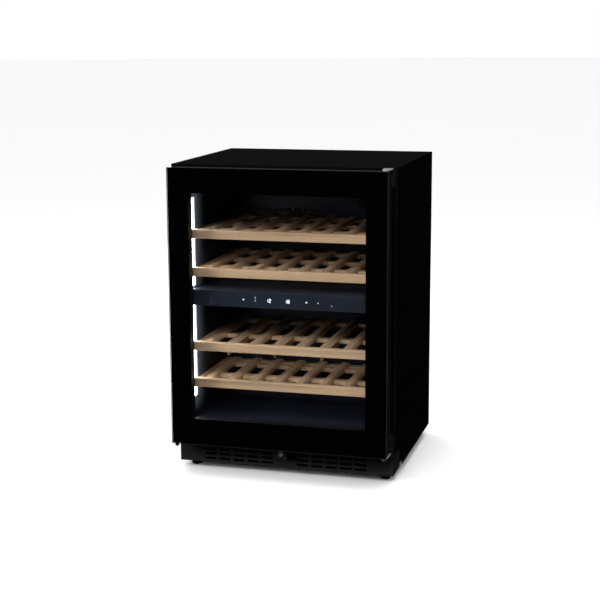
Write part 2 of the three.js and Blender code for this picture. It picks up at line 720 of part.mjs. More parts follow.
// Base plate on four rubber mounts.
function compressorBase() {
  const floor = basePan.floor + basePan.thickness + GAP;
  const plateTop = compressor.bottom - GAP;
  const half = [compressor.radius * compressor.stretch + 8, compressor.radius - 6];
  const parts = [block([-half[0], -half[1], plateTop - 3], [half[0], half[1], plateTop])];
  for (const x of [-half[0] + 12, half[0] - 12]) {
    for (const side of [-half[1] + 12, half[1] - 12]) {
      parts.push(rod(9, [x, side, floor], [x, side, plateTop - 2], 12));
    }
  }
  return union(parts);
}

function condenserBlock() {
  const { left, right, front, back, bottom, top, plates } = condenser;
  const parts = [];
  for (let index = 0; index < plates; index += 1) {
    const reach = front + (back - front - 1.2) * index / (plates - 1);
    parts.push(block([left, y(reach), bottom], [right, y(reach + 1.2), top]));
  }
  for (const z of [bottom + 30, (bottom + top) / 2, top - 30]) {
    parts.push(block([left + 50, y(front), z - 4], [left + 58, y(back), z + 4]));
  }
  return union(parts);
}

function dripTray() {
  const { radius, stretch } = compressor;
  const half = [radius * stretch, radius - 4];
  const height = 26;
  const wall = 2;
  const outer = block([-half[0], -half[1], 0], [half[0], half[1], height]);
  return outer.subtract(block(
    [-half[0] + wall, -half[1] + wall, wall], [half[0] - wall, half[1] - wall, height + 1]));
}

function filterDrier() {
  return turned([[0, 0], [3, 0], [3, 12], [9, 20], [9, 96], [3, 104], [3, 116], [0, 116]], 16);
}

// Copper line from the compressor's side to the drier.
function refrigerantPipe() {
  const side = compressor.x - compressor.radius * compressor.stretch - 5;
  const route = new THREE.CatmullRomCurve3([
    new THREE.Vector3(side, y(487), 92), new THREE.Vector3(side - 16, y(487), 92),
    new THREE.Vector3(side - 26, y(500), 110), new THREE.Vector3(side - 26, y(520), 180),
    new THREE.Vector3(side - 40, y(524), 222), new THREE.Vector3(-90, y(520), 236),
    new THREE.Vector3(-200, y(520), 236), new THREE.Vector3(-250, y(500), 228),
    new THREE.Vector3(-252, y(485), 204),
  ]);
  const section = new THREE.Shape().absarc(0, 0, 3.2, 0, Math.PI * 2);
  return solidFrom(new THREE.ExtrudeGeometry(section, { steps: 36, extrudePath: route, curveSegments: 4 }));
}

// Louvred sheet that closes the machine room, with a cut-out for the mains inlet.
function rearCoverSheet() {
  const wide = HALF - SHEET - GAP;
  const back = y(DEPTH - SHEET - GAP);
  let sheet = block([-wide, back - 1, rearCover.bottom], [wide, back, rearCover.top]);
  for (let row = 0; row < 8; row += 1) {
    const z = 66 + row * 16;
    for (const x of [-230, -60, 110]) {
      sheet = sheet.subtract(block([x, back - 2, z], [x + 120, back + 1, z + 5]));
    }
  }
  return sheet.subtract(block([214, back - 2, 226], [246, back + 1, 252]));
}

// Three-pin appliance inlet, set in the rear cover.
function mainsInlet() {
  const face = y(DEPTH) - 0.2;
  const inner = y(DEPTH - SHEET - GAP) - 1;
  const flange = extruded("y", roundedRectangle(207, 219, 253, 259, 3), y(DEPTH - SHEET), face);
  const body = block([214.4, inner - 22, 226.4], [245.6, y(DEPTH - SHEET) + 0.1, 251.6]);
  const mouth = block([217, inner - 12, 229], [243, face + 1, 249]);
  const pins = [-8, 0, 8].map((x) => block([229 + x, inner - 14, 236], [231 + x, inner - 2, 242]));
  return flange.add(body).subtract(mouth).add(union(pins));
}

function charcoalFilter() {
  return turned([[0, 0], [30, 0], [33, 3], [33, 9], [24, 9], [22, 6], [0, 6]], 24);
}

function addMachineRoom() {
  const seat = [compressor.x, y(compressor.reach)];
  add("compressor", compressorShell(), "blackSteel").position.set(...seat, compressor.bottom);
  add("compressor_base", compressorBase(), "zincSteel").position.set(...seat, 0);
  add("drip_tray", dripTray(), "blackPlastic").position.set(...seat, compressor.top + 8);
  add("condenser", condenserBlock(), "aluminium");
  const fan = new THREE.Group();
  fan.rotation.z = -Math.PI / 2;
  fan.position.set(roomFan.x, y(roomFan.reach), roomFan.z);
  cooler.add(fan);
  add("condenser_fan_frame", fanFrame(roomFan.size, roomFan.depth, roomFan.bore), "blackPlastic", fan);
  add("condenser_fan_wheel", fanWheel(roomFan.depth, roomFan.bore), "blackPlastic", fan);
  add("filter_drier", filterDrier(), "copper").position.set(-60, y(535), 60);
  add("refrigerant_pipe", refrigerantPipe(), "copper");
  add("rear_cover", rearCoverSheet(), "zincSteel");
  add("mains_inlet", mainsInlet(), "blackPlastic");
}

function addFilter() {
  const filter = add("charcoal_filter", charcoalFilter(), "blackPlastic");
  filter.rotation.x = Math.PI / 2;
  filter.position.set(-150, y(cavity.back) - 1, 590);
}

addCabinet();
addDoor();
addHingesAndLock();
addCavityParts();
addShelves();
addMachineRoom();
addFilter();

export default cooler;
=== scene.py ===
"""Finished looks of a free-standing two-zone wine cooler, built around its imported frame."""

import json
import math

import bmesh
import bpy
from mathutils import Matrix, Vector


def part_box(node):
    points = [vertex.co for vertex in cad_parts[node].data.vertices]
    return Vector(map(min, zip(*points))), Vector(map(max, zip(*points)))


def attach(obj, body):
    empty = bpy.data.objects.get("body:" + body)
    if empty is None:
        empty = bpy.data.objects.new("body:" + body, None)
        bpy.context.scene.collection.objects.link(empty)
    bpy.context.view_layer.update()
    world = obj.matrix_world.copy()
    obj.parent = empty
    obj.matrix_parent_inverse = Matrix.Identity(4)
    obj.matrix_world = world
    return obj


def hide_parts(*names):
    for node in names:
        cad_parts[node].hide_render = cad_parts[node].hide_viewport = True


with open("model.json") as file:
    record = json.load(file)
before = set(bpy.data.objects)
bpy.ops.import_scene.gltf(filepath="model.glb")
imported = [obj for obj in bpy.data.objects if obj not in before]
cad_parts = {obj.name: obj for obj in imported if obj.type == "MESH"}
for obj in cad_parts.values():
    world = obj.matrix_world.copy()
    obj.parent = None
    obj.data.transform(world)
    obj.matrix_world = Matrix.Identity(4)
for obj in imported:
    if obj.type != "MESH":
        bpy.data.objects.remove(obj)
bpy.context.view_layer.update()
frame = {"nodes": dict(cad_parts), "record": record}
BODY_OF = {
    node: body
    for body, nodes in frame["record"]["behaviour"]["bodies"].items()
    for node in nodes
}
SLOT_OF = {part["node"]: part["material_slot"] for part in frame["record"]["subparts"]}

bl_info = {
    "name": "Wine cooler looks",
    "version": (1, 0, 0),
    "blender": (4, 5, 0),
    "location": "View3D > Sidebar > Wine cooler",
    "description": "Finishes and fine pieces for a two-zone wine cooler",
    "category": "Object",
}

MM = 0.001


# ---------------------------------------------------------------------------
# Sizes and colours that a user would change


class CoolerSizes(bpy.types.PropertyGroup):
    """Sizes of the fine pieces"""

    sheet_edge: bpy.props.FloatProperty(
        name="Sheet edge",
        description="Radius on the folded edges of painted sheet steel",
        default=1.6 * MM,
        unit="LENGTH",
    )
    moulded_edge: bpy.props.FloatProperty(
        name="Moulded edge",
        description="Radius on the edges of moulded plastic",
        default=0.8 * MM,
        unit="LENGTH",
    )
    wood_edge: bpy.props.FloatProperty(
        name="Wood edge",
        description="Radius sanded on the edges of the beech",
        default=1.2 * MM,
        unit="LENGTH",
    )
    glass_corner: bpy.props.FloatProperty(
        name="Glass corner",
        description="Radius of the outer pane's corners",
        default=2.5 * MM,
        unit="LENGTH",
    )
    window_half_width: bpy.props.FloatProperty(
        name="Window half width",
        description="From the middle to the side of the clear window in the printed border",
        default=232 * MM,
        unit="LENGTH",
    )
    window_low: bpy.props.FloatProperty(
        name="Window foot",
        description="Height of the clear window's lower edge",
        default=157.5 * MM,
        unit="LENGTH",
    )
    window_high: bpy.props.FloatProperty(
        name="Window head",
        description="Height of the clear window's upper edge",
        default=751.5 * MM,
        unit="LENGTH",
    )
    digit_height: bpy.props.FloatProperty(
        name="Digit height",
        description="Height of the temperature digits on the panel",
        default=8.5 * MM,
        unit="LENGTH",
    )
    camera_lens: bpy.props.FloatProperty(
        name="Lens",
        description="Focal length of the camera in millimetres on a 36 mm sensor",
        default=83.47,
    )


class CoolerColours(bpy.types.PropertyGroup):
    """Colours of the finishes and the light"""

    cabinet: bpy.props.FloatVectorProperty(
        name="Cabinet paint",
        description="Satin black on the cabinet",
        size=3,
        subtype="COLOR",
        default=(0.0019, 0.0019, 0.002),
    )
    plinth: bpy.props.FloatVectorProperty(
        name="Plinth paint",
        description="Charcoal grey on the plinth",
        size=3,
        subtype="COLOR",
        default=(0.018, 0.0175, 0.0178),
    )
    beech: bpy.props.FloatVectorProperty(
        name="Beech",
        description="Middle tone of the oiled beech",
        size=3,
        subtype="COLOR",
        default=(0.66, 0.43, 0.25),
    )
    liner: bpy.props.FloatVectorProperty(
        name="Liner",
        description="Blue-black of the moulded liner",
        size=3,
        subtype="COLOR",
        default=(0.021, 0.024, 0.038),
    )
    lamp: bpy.props.FloatVectorProperty(
        name="Lamp",
        description="Cool white of the light bars",
        size=3,
        subtype="COLOR",
        default=(0.82, 0.91, 1.0),
    )
    lamp_strength: bpy.props.FloatProperty(
        name="Lamp strength",
        description="How brightly the light bars shine",
        default=30.0,
    )
    floor: bpy.props.FloatVectorProperty(
        name="Floor",
        description="Pale floor of the studio",
        size=3,
        subtype="COLOR",
        default=(0.83, 0.83, 0.83),
    )


# ---------------------------------------------------------------------------
# Shader maths


class Wire:
    """A socket that Python's arithmetic adds Math nodes to."""

    def __init__(self, tree, socket):
        self.tree = tree
        self.socket = socket

    def step(self, operation, *values):
        node = self.tree.nodes.new("ShaderNodeMath")
        node.operation = operation
        for entry, value in zip(node.inputs, values):
            plug(self.tree, entry, value)
        return Wire(self.tree, node.outputs[0])

    def __add__(self, other):
        return self.step("ADD", self, other)

    def __sub__(self, other):
        return self.step("SUBTRACT", self, other)

    def __mul__(self, other):
        return self.step("MULTIPLY", self, other)

    def __truediv__(self, other):
        return self.step("DIVIDE", self, other)

    def __rsub__(self, other):
        return self.step("SUBTRACT", other, self)

    __radd__ = __add__
    __rmul__ = __mul__


def plug(tree, entry, value):
    """Links a Wire to a node's entry, or sets a plain value on it."""
    if isinstance(value, Wire):
        tree.links.new(value.socket, entry)
    else:
        entry.default_value = value


class Finish:
    """A material that is put together one node at a time."""

    def __init__(self, name):
        self.material = bpy.data.materials.new(name)
        self.material.use_nodes = True
        self.tree = self.material.node_tree
        self.tree.nodes.clear()
        self.place = self.node("ShaderNodeTexCoord", out="Object")

    def node(self, kind, settings=None, inputs=None, out=0):
        node = self.tree.nodes.new(kind)
        for name, value in (settings or {}).items():
            if name == "stops":
                ramp = node.color_ramp
                while len(ramp.elements) < len(value):
                    ramp.elements.new(1.0)
                for element, (position, colour) in zip(ramp.elements, value):
                    element.position = position
                    element.color = (*colour, 1.0)
            else:
                setattr(node, name, value)
        for name, value in (inputs or {}).items():
            plug(self.tree, node.inputs[name], value)
        return Wire(self.tree, node.outputs[out])

    def stretched(self, x, y, z):
        return self.node(
            "ShaderNodeMapping", inputs={"Vector": self.place, "Scale": (x, y, z)}
        )

    def noise(self, scale, vector=None, detail=3.0, roughness=0.5):
        return self.node(
            "ShaderNodeTexNoise",
            inputs={
                "Vector": vector or self.place,
                "Scale": scale,
                "Detail": detail,
                "Roughness": roughness,
            },
        )

    def between(self, share, first, second):
        """A colour between two, by share."""
        return self.node(
            "ShaderNodeMix",
            {"data_type": "RGBA"},
            {0: share, 6: first, 7: second},
            out=2,
        )

    def along(self, axis):
        """Distance along X, Y or Z."""
        return self.node("ShaderNodeSeparateXYZ", inputs={"Vector": self.place}, out=axis)

    def fading(self, value, start, end):
        """1 up to start, falling to 0 at end."""
        stops = {"From Min": start, "From Max": end, "To Min": 1.0, "To Max": 0.0}
        return self.node("ShaderNodeMapRange", inputs={"Value": value, **stops})

    def bump(self, height, strength, distance=0.1 * MM, under=None):
        inputs = {"Height": height, "Strength": strength, "Distance": distance}
        if under:
            inputs["Normal"] = under
        return self.node("ShaderNodeBump", inputs=inputs)

    def principled(self, **values):
        inputs = {name.replace("_", " "): value for name, value in values.items()}
        return self.node("ShaderNodeBsdfPrincipled", inputs=inputs)

    def done(self, surface):
        output = self.tree.nodes.new("ShaderNodeOutputMaterial")
        plug(self.tree, output.inputs["Surface"], surface)
        return self.material


def shade(colour, share):
    return (*[channel * share for channel in colour], 1.0)


def enamel(name, colour, roughness, peel=0.12, coat=0.0, gloss=0.25):
    """Sprayed paint: faint orange peel, and a sheen that wanders a little."""
    finish = Finish(name)
    drift = finish.noise(6.0, detail=2.0)
    colours = finish.between(drift, shade(colour, 0.85), shade(colour, 1.15))
    speckle = finish.noise(1400.0, detail=2.0)
    dust = finish.noise(38.0, detail=5.0, roughness=0.6)
    return finish.done(
        finish.principled(
            Base_Color=colours,
            Roughness=roughness + (dust - 0.5) * 0.10,
            Normal=finish.bump(speckle, peel, 0.06 * MM),
            Coat_Weight=coat,
            Coat_Roughness=0.12,
            Specular_IOR_Level=gloss,
        )
    )


def moulding(name, colour, roughness, texture=1100.0, depth=0.25):
    """Moulded plastic with a spark-eroded skin."""
    finish = Finish(name)
    cells = finish.node(
        "ShaderNodeTexVoronoi",
        {"feature": "SMOOTH_F1"},
        {"Vector": finish.place, "Scale": texture},
    )
    flow = finish.noise(14.0, detail=3.0)
    colours = finish.between(flow, shade(colour, 0.82), shade(colour, 1.18))
    return finish.done(
        finish.principled(
            Base_Color=colours,
            Roughness=roughness + (flow - 0.5) * 0.12,
            Normal=finish.bump(cells, depth, 0.05 * MM),
        )
    )


# Reach, depth and colour of the painted glow that the light bars leave on the liner wall.
PAINTED_GLOW_HEIGHT = 45 * MM
PAINTED_GLOW_DEPTH = 85 * MM
PAINTED_GLOW_COLOUR = (0.72, 0.84, 1.0)


def liner_with_painted_glow(name, colour):
    """The liner's moulding, with a painted glow of the light bars on the wall beside them: emission that
    stands in for the light the bars throw there.
    """
    finish = Finish(name)
    cells = finish.noise(520.0, detail=1.0)
    flow = finish.noise(14.0, detail=3.0)
    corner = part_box("led_strip_upper")[1]
    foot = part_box("led_strip_lower")[0].z
    middle, half = (foot + corner.z) / 2, (corner.z - foot) / 2
    across, depth, height = (finish.along(axis) for axis in "XYZ")
    on_wall = across.step("LESS_THAN", across, corner.x - 2 * MM)
    reach = finish.fading(height.step("ABSOLUTE", height - middle), half, half + PAINTED_GLOW_HEIGHT)
    near = finish.fading(depth, corner.y, corner.y + PAINTED_GLOW_DEPTH)
    return finish.done(
        finish.principled(
            Base_Color=finish.between(flow, shade(colour, 0.82), shade(colour, 1.18)),
            Roughness=0.42 + (flow - 0.5) * 0.12,
            Normal=finish.bump(cells, 0.15, 0.05 * MM),
            # Painted light: the wall beside the bars glows by its own emission, fading with height and depth.
            Emission_Color=finish.between(
                on_wall * near * near * reach, (0.0, 0.0, 0.0, 1.0), shade(PAINTED_GLOW_COLOUR, 0.10)
            ),
            Emission_Strength=1.0,
        )
    )


def brushed(name, colour, roughness, along=(1.0, 60.0, 60.0), metal=0.75):
    """Metal with fine drawn lines along one axis."""
    finish = Finish(name)
    lines = finish.noise(45.0, finish.stretched(*along), detail=5.0, roughness=0.65)
    stain = finish.noise(9.0, detail=3.0)
    colours = finish.between(stain, shade(colour, 0.86), shade(colour, 1.06))
    return finish.done(
        finish.principled(
            Base_Color=colours,
            Metallic=metal,
            Roughness=roughness + (lines - 0.5) * 0.22,
            Normal=finish.bump(lines, 0.25, 0.03 * MM),
        )
    )


def galvanised(name, colour, roughness):
    """Zinc-coated sheet with its frost-like spangle."""
    finish = Finish(name)
    flake = finish.node(
        "ShaderNodeTexVoronoi",
        {"feature": "F1"},
        {"Vector": finish.place, "Scale": 95.0, "Randomness": 1.0},
        out="Color",
    )
    grey = finish.node("ShaderNodeRGBToBW", inputs={"Color": flake})
    colours = finish.between(grey, shade(colour, 0.72), shade(colour, 1.12))
    haze = finish.noise(30.0, detail=4.0)
    return finish.done(
        finish.principled(
            Base_Color=colours,
            Metallic=0.4,
            Roughness=roughness + (grey - 0.5) * 0.18 + (haze - 0.5) * 0.1,
            Normal=finish.bump(haze, 0.08, 0.05 * MM),
        )
    )


def timber(name, colour, along):
    """Oiled beech: soft bands along the grain, short dark flecks, and a tone for each slat."""
    finish = Finish(name)
    across = [52.0, 52.0, 52.0]
    fine = [700.0, 700.0, 700.0]
    across[along] = 2.2
    fine[along] = 42.0
    bands = finish.noise(1.0, finish.stretched(*across), detail=5.0, roughness=0.55)
    silk = finish.noise(1.0, finish.stretched(*fine), detail=2.0)
    parts = finish.along("X")
    slat = (parts / 0.0635 + 0.5).step("FLOOR", parts / 0.0635 + 0.5)
    tone = finish.node(
        "ShaderNodeTexWhiteNoise", {"noise_dimensions": "1D"}, {"W": slat + 3.0}
    )
    ramp = finish.node(
        "ShaderNodeValToRGB",
        {
            "stops": (
                (0.30, [c * 0.66 for c in colour]),
                (0.48, [c * 0.96 for c in colour]),
                (0.68, [c * 1.16 for c in colour]),
            )
        },
        {"Fac": bands},
    )
    flecks = finish.node(
        "ShaderNodeMapRange",
        inputs={"Value": silk, "From Min": 0.34, "From Max": 0.44, "To Min": 1.0, "To Max": 0.0},
    )
    fleck_tint = [c * t for c, t in zip(colour, (0.50, 0.42, 0.34))]
    stained = finish.between(flecks * 0.42, ramp, (*fleck_tint, 1.0))
    toned = finish.between(tone * 0.16, stained, shade((0.50, 0.30, 0.16), 1.0))
    return finish.done(
        finish.principled(
            Base_Color=toned,
            Roughness=0.46 + flecks * 0.14 + (bands - 0.5) * 0.12,
            Normal=finish.bump(silk, 0.22, 0.12 * MM),
            Specular_IOR_Level=0.4,
        )
    )


def clear_pane(name, passing, polish=1.0):
    """Flat glass: see-through with a faint tint, and a mirror on each outer face that grows at a slant."""
    finish = Finish(name)
    film = finish.noise(3.0, detail=2.0)
    slant = finish.node("ShaderNodeFresnel", inputs={"IOR": 1.45})
    inner = finish.node("ShaderNodeNewGeometry", out="Backfacing")
    mirror = slant * (1.0 - inner) * (polish * (0.97 + film * 0.06))
    through = finish.node("ShaderNodeBsdfTransparent", inputs={"Color": (*passing, 1.0)})
    gloss = finish.node("ShaderNodeBsdfAnisotropic", inputs={"Roughness": 0.0})
    return finish.done(
        finish.node("ShaderNodeMixShader", inputs={0: mirror, 1: through, 2: gloss})
    )


def ground_glass(name):
    """The matt, pencil-ground edge of toughened glass."""
    finish = Finish(name)
    grain = finish.noise(900.0, detail=3.0)
    return finish.done(
        finish.principled(
            Base_Color=finish.between(grain, (0.022, 0.025, 0.025, 1), (0.045, 0.05, 0.049, 1)),
            Roughness=0.38 + grain * 0.2,
            Normal=finish.bump(grain, 0.3, 0.04 * MM),
        )
    )


def printed_border(name):
    """Fired black enamel on the back of the outer pane."""
    finish = Finish(name)
    haze = finish.noise(25.0, detail=3.0)
    return finish.done(
        finish.principled(
            Base_Color=finish.between(haze, (0.0003, 0.0003, 0.00035, 1), (0.0006, 0.0006, 0.0007, 1)),
            Roughness=0.22 + haze * 0.1,
            Specular_IOR_Level=0.1,
        )
    )


def shining(name, colour, strength, pitch=0.0, fade=None):
    """A diffuser lit from behind. A pitch shows the row of lamps under it; a fade dims it with depth."""
    finish = Finish(name)
    level = finish.noise(60.0, detail=1.0) * 0.12
    if pitch:
        height = finish.along("Z")
        wave = (height * (2 * math.pi / pitch)).step("SINE", height * (2 * math.pi / pitch))
        level = level + (wave + 1.0) * 0.12
    glow = finish.between(level, (*colour, 1.0), shade(colour, 0.72))
    if fade:
        depth = finish.along("Y")
        dim = finish.node(
            "ShaderNodeMapRange",
            {"interpolation_type": "SMOOTHSTEP"},
            {"Value": depth, "From Min": fade[0], "From Max": fade[1]},
        )
        glow = finish.between(dim, glow, shade(colour, 0.008))
    return finish.done(
        finish.principled(
            Base_Color=(0.8, 0.8, 0.8, 1.0),
            Roughness=0.4,
            Emission_Color=glow,
            Emission_Strength=strength,
        )
    )


def gloss_panel(name):
    """Tinted cover of the control panel, with a shadow of the parts behind."""
    finish = Finish(name)
    haze = finish.noise(18.0, detail=4.0)
    return finish.done(
        finish.principled(
            Base_Color=finish.between(haze, (0.017, 0.020, 0.028, 1), (0.028, 0.032, 0.044, 1)),
            Roughness=0.16 + haze * 0.06,
            Coat_Weight=0.6,
            Coat_Roughness=0.05,
        )
    )


def foamed(name):
    """Rigid foam: pale skin over small closed cells."""
    finish = Finish(name)
    cells = finish.node(
        "ShaderNodeTexVoronoi", {"feature": "F1"}, {"Vector": finish.place, "Scale": 420.0}
    )
    return finish.done(
        finish.principled(
            Base_Color=finish.between(cells, (0.72, 0.6, 0.34, 1), (0.86, 0.77, 0.52, 1)),
            Roughness=0.8 + cells * 0.15,
            Normal=finish.bump(cells, 0.6, 0.3 * MM),
        )
    )


def circuit(name):
    """Solder mask with tracks showing through."""
    finish = Finish(name)
    tracks = finish.node(
        "ShaderNodeTexBrick",
        {"offset": 0.5},
        {
            "Vector": finish.stretched(1.0, 0.0, 1.0),
            "Scale": 60.0,
            "Color1": (0.012, 0.085, 0.035, 1),
            "Color2": (0.015, 0.11, 0.045, 1),
            "Mortar": (0.05, 0.2, 0.08, 1),
        },
        out="Color",
    )
    level = finish.node("ShaderNodeRGBToBW", inputs={"Color": tracks})
    return finish.done(
        finish.principled(
            Base_Color=tracks,
            Roughness=0.34 + level * 0.4,
            Normal=finish.bump(level, 0.3, 0.05 * MM),
        )
    )


FINISHES = {}


def make_finishes(colours):
    """Every finish of the cooler, by the name of its material slot in the record or its own."""
    lamp_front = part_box("led_strip_upper")[0].y
    lamp_depths = (lamp_front + 4 * MM, lamp_front + 28 * MM)
    FINISHES.update(
        cabinet_steel=enamel("satin_black_paint", colours.cabinet, 0.5, gloss=0.02),
        # Paler paint for the flange's front faces on the hinge side: a painted highlight along that edge.
        front_flange=enamel("flange_highlight_paint", (0.035, 0.035, 0.036), 0.4),
        plinth_steel=enamel("charcoal_paint", colours.plinth, 0.5, peel=0.18),
        hinge_steel=enamel("hinge_paint", (0.010, 0.010, 0.011), 0.34, peel=0.08),
        compressor_paint=enamel("compressor_enamel", (0.014, 0.014, 0.014), 0.24, coat=0.5),
        black_plastic=moulding("black_moulding", (0.007, 0.007, 0.0075), 0.42),
        foot_plastic=moulding("foot_moulding", (0.016, 0.016, 0.016), 0.5, texture=700.0),
        liner_plastic=moulding("liner_moulding", colours.liner, 0.42, texture=520.0, depth=0.15),
        liner_wall=liner_with_painted_glow("liner_wall", colours.liner),
        panel_surround=moulding("panel_surround", (0.030, 0.034, 0.046), 0.36, depth=0.12),
        gasket_rubber=moulding("gasket_rubber", (0.011, 0.011, 0.011), 0.62, texture=1600.0),
        zinc_steel=galvanised("zinc_sheet", (0.42, 0.43, 0.44), 0.42),
        # Pale grey of the hinge leaves: partly the leaf's metal, partly a painted highlight for its glint.
        hinge_leaf=brushed("hinge_leaf", (0.30, 0.30, 0.305), 0.4, metal=0.3),
        bright_steel=brushed("bright_steel", (0.72, 0.73, 0.74), 0.18),
        aluminium=brushed("aluminium", (0.76, 0.77, 0.78), 0.32, along=(60.0, 60.0, 1.0)),
        copper=brushed("copper", (0.78, 0.38, 0.22), 0.3),
        foam=foamed("rigid_foam"),
        circuit_board=circuit("circuit_board"),
        panel_glass=gloss_panel("panel_cover"),
        rail_beech=timber("beech_along_x", colours.beech, 0),
        beech=timber("beech_along_y", colours.beech, 1),
        door_glass=clear_pane("smoked_pane", (0.93, 0.935, 0.95)),
        inner_glass=clear_pane("inner_pane", (0.97, 0.98, 0.985)),
        glass_edge=ground_glass("ground_glass_edge"),
        printed_border=printed_border("printed_border"),
        led_light=shining(
            "light_bar", colours.lamp, colours.lamp_strength, pitch=16 * MM, fade=lamp_depths
        ),
        display=shining("display_light", (0.85, 0.93, 1.0), 3.2),
    )


# ---------------------------------------------------------------------------
# Shapes


def turn(degrees, axis):
    return Matrix.Rotation(math.radians(degrees), 4, axis)


def block_of(low, high):
    """A bmesh box between two corners."""
    shape = bmesh.new()
    bmesh.ops.create_cube(shape, size=1.0)
    low, high = Vector(low), Vector(high)
    bmesh.ops.scale(shape, vec=high - low, verts=shape.verts)
    bmesh.ops.translate(shape, vec=(low + high) / 2, verts=shape.verts)
    return shape


def softened(shape, edges, radius, segments=2):
    bmesh.ops.bevel(
        shape,
        geom=edges,
        offset=radius,
        offset_type="OFFSET",
        segments=segments,
        profile=0.5,
        affect="EDGES",
        clamp_overlap=True,
        material=-1,
    )


def sharp_edges(shape, angle=40.0, least=0.0):
    return [
        edge
        for edge in shape.edges
        if len(edge.link_faces) == 2
        and edge.calc_face_angle(0.0) > math.radians(angle)
        and edge.calc_length() >= least
    ]


def lathe(points, steps=32):
    """Turns a half section, given as (radius, height) pairs, about the Z axis."""
    shape = bmesh.new()
    verts = [shape.verts.new((radius, 0.0, height)) for radius, height in points]
    edges = [shape.edges.new(pair) for pair in zip(verts, verts[1:])]
    bmesh.ops.spin(
        shape,
        geom=verts + edges,
        cent=(0, 0, 0),
        axis=(0, 0, 1),
        angle=2 * math.pi,
        steps=steps,
        use_merge=True,
    )
    bmesh.ops.remove_doubles(shape, verts=shape.verts, dist=0.002 * MM)
    bmesh.ops.recalc_face_normals(shape, faces=shape.faces)
    return shape


def framed(section, low, high):
    """A rectangular frame about the Y axis. The section is (inset, depth) pairs, all the way round it."""
    shape = bmesh.new()
    (left, bottom), (right, top) = low, high
    corners = ((left, bottom, 1, 1), (right, bottom, -1, 1), (right, top, -1, -1), (left, top, 1, -1))
    verts = [shape.verts.new((left + inset, depth, bottom + inset)) for inset, depth in section]
    edges = [shape.edges.new(pair) for pair in zip(verts, verts[1:] + verts[:1])]
    for here, there in zip(corners, corners[1:] + corners[:1]):
        made = bmesh.ops.extrude_edge_only(shape, edges=edges)["geom"]
        fresh = {g for g in made if isinstance(g, bmesh.types.BMVert)}
        for vert in fresh:
            inset = (vert.co.x - here[0]) * here[2]
            vert.co = (there[0] + there[2] * inset, vert.co.y, there[1] + there[3] * inset)
        edges = [g for g in made if isinstance(g, bmesh.types.BMEdge) and set(g.verts) <= fresh]
    bmesh.ops.remove_doubles(shape, verts=shape.verts, dist=0.002 * MM)
    bmesh.ops.recalc_face_normals(shape, faces=shape.faces)
    return shape


def merged(*shapes):
    """One bmesh that holds several."""
    whole = bmesh.new()
    for shape in shapes:
        mesh = bpy.data.meshes.new("part")
        shape.to_mesh(mesh)
        shape.free()
        whole.from_mesh(mesh)
        bpy.data.meshes.remove(mesh)
    return whole


def moved(shape, matrix):
    bmesh.ops.transform(shape, matrix=matrix, verts=shape.verts)
    return shape


def lay_normals(mesh, smooth):
    """Smooths rounded edges while the flat faces beside them keep their own direction."""
    nearest = math.cos(math.radians(smooth))
    around = [[] for _ in mesh.vertices]
    for face in mesh.polygons:
        for vert in face.vertices:
            around[vert].append((face.normal.copy(), face.area))
    normals = []
    for face in mesh.polygons:
        for vert in face.vertices:
            total = Vector()
            for normal, area in around[vert]:
                if normal.dot(face.normal) > nearest:
                    total += normal * area
            normals.append(total.normalized())
    mesh.polygons.foreach_set("use_smooth", [True] * len(mesh.polygons))
    mesh.normals_split_custom_set(normals)


def piece(name, shape, body, slot, finish=None, replaced=(), smooth=40.0):
    """Turns a bmesh into a finished piece that moves with its body."""
    mesh = bpy.data.meshes.new(name)
    shape.to_mesh(mesh)
    shape.free()
    for material in finish if isinstance(finish, tuple) else (finish or slot,):
        mesh.materials.append(FINISHES[material])
    lay_normals(mesh, smooth)
    made = bpy.data.objects.new(name, mesh)
    bpy.context.scene.collection.objects.link(made)
    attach(made, body)
    if replaced:
        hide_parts(*replaced)
    return made


def copy_of(node):
    """A clean bmesh of a frame node: doubles merged and flat faces whole."""
    shape = bmesh.new()
    shape.from_mesh(frame["nodes"][node].data)
    bmesh.ops.remove_doubles(shape, verts=shape.verts, dist=0.002 * MM)
    bmesh.ops.dissolve_limit(
        shape, angle_limit=math.radians(0.6), verts=shape.verts, edges=shape.edges
    )
    return shape


def eased(node, radius, finish=None, angle=50.0, least=None, segments=2, extra=(), name=None):
    """A frame node with its sharp edges rounded, in place of the plain one."""
    shape = copy_of(node)
    edges = sharp_edges(shape, angle, radius * 2.4 if least is None else least)
    if edges:
        softened(shape, edges, radius, segments)
    if extra:
        shape = merged(shape, *extra)
    return piece(
        name or f"{node}_finished", shape, BODY_OF[node], SLOT_OF[node], finish, (node,)
    )


def repaint(*nodes, finish=None):
    """A better material on frame nodes whose shape is already right."""
    for node in nodes:
        material = FINISHES[finish or SLOT_OF[node]]
        for slot in frame["nodes"][node].material_slots:
            slot.material = material


def screw(radius=3.4 * MM, height=1.9 * MM):
    """Pan head with a cross recess, seat on z = 0, axis +Z."""
    head = lathe(
        [
            (0.0, height * 0.35),
            (radius * 0.16, height * 0.35),
            (radius * 0.30, height * 0.98),
            (radius * 0.62, height * 0.93),
            (radius * 0.88, height * 0.66),
            (radius, height * 0.25),
            (radius, 0.0),
            (0.0, 0.0),
        ],
        steps=24,
    )
    for vert in head.verts:
        reach = math.hypot(vert.co.x, vert.co.y)
        if 0 < reach < radius * 0.45 and vert.co.z > height * 0.2:
            lobes = math.cos(4 * math.atan2(vert.co.y, vert.co.x))
            swell = 1.0 + 0.55 * lobes
            vert.co.x *= swell
            vert.co.y *= swell
    return head


FACING = {
    "front": turn(90, "X"),
    "back": turn(-90, "X"),
    "up": Matrix.Identity(4),
    "down": turn(180, "X"),
}


def screws(name, places, facing, body, slot, finish, radius=3.4 * MM, height=1.9 * MM):
    heads = [
        moved(screw(radius, height), Matrix.Translation(place) @ FACING[facing])
        for place in places
    ]
    return piece(name, merged(*heads), body, slot, finish)


# ---------------------------------------------------------------------------
# Operators


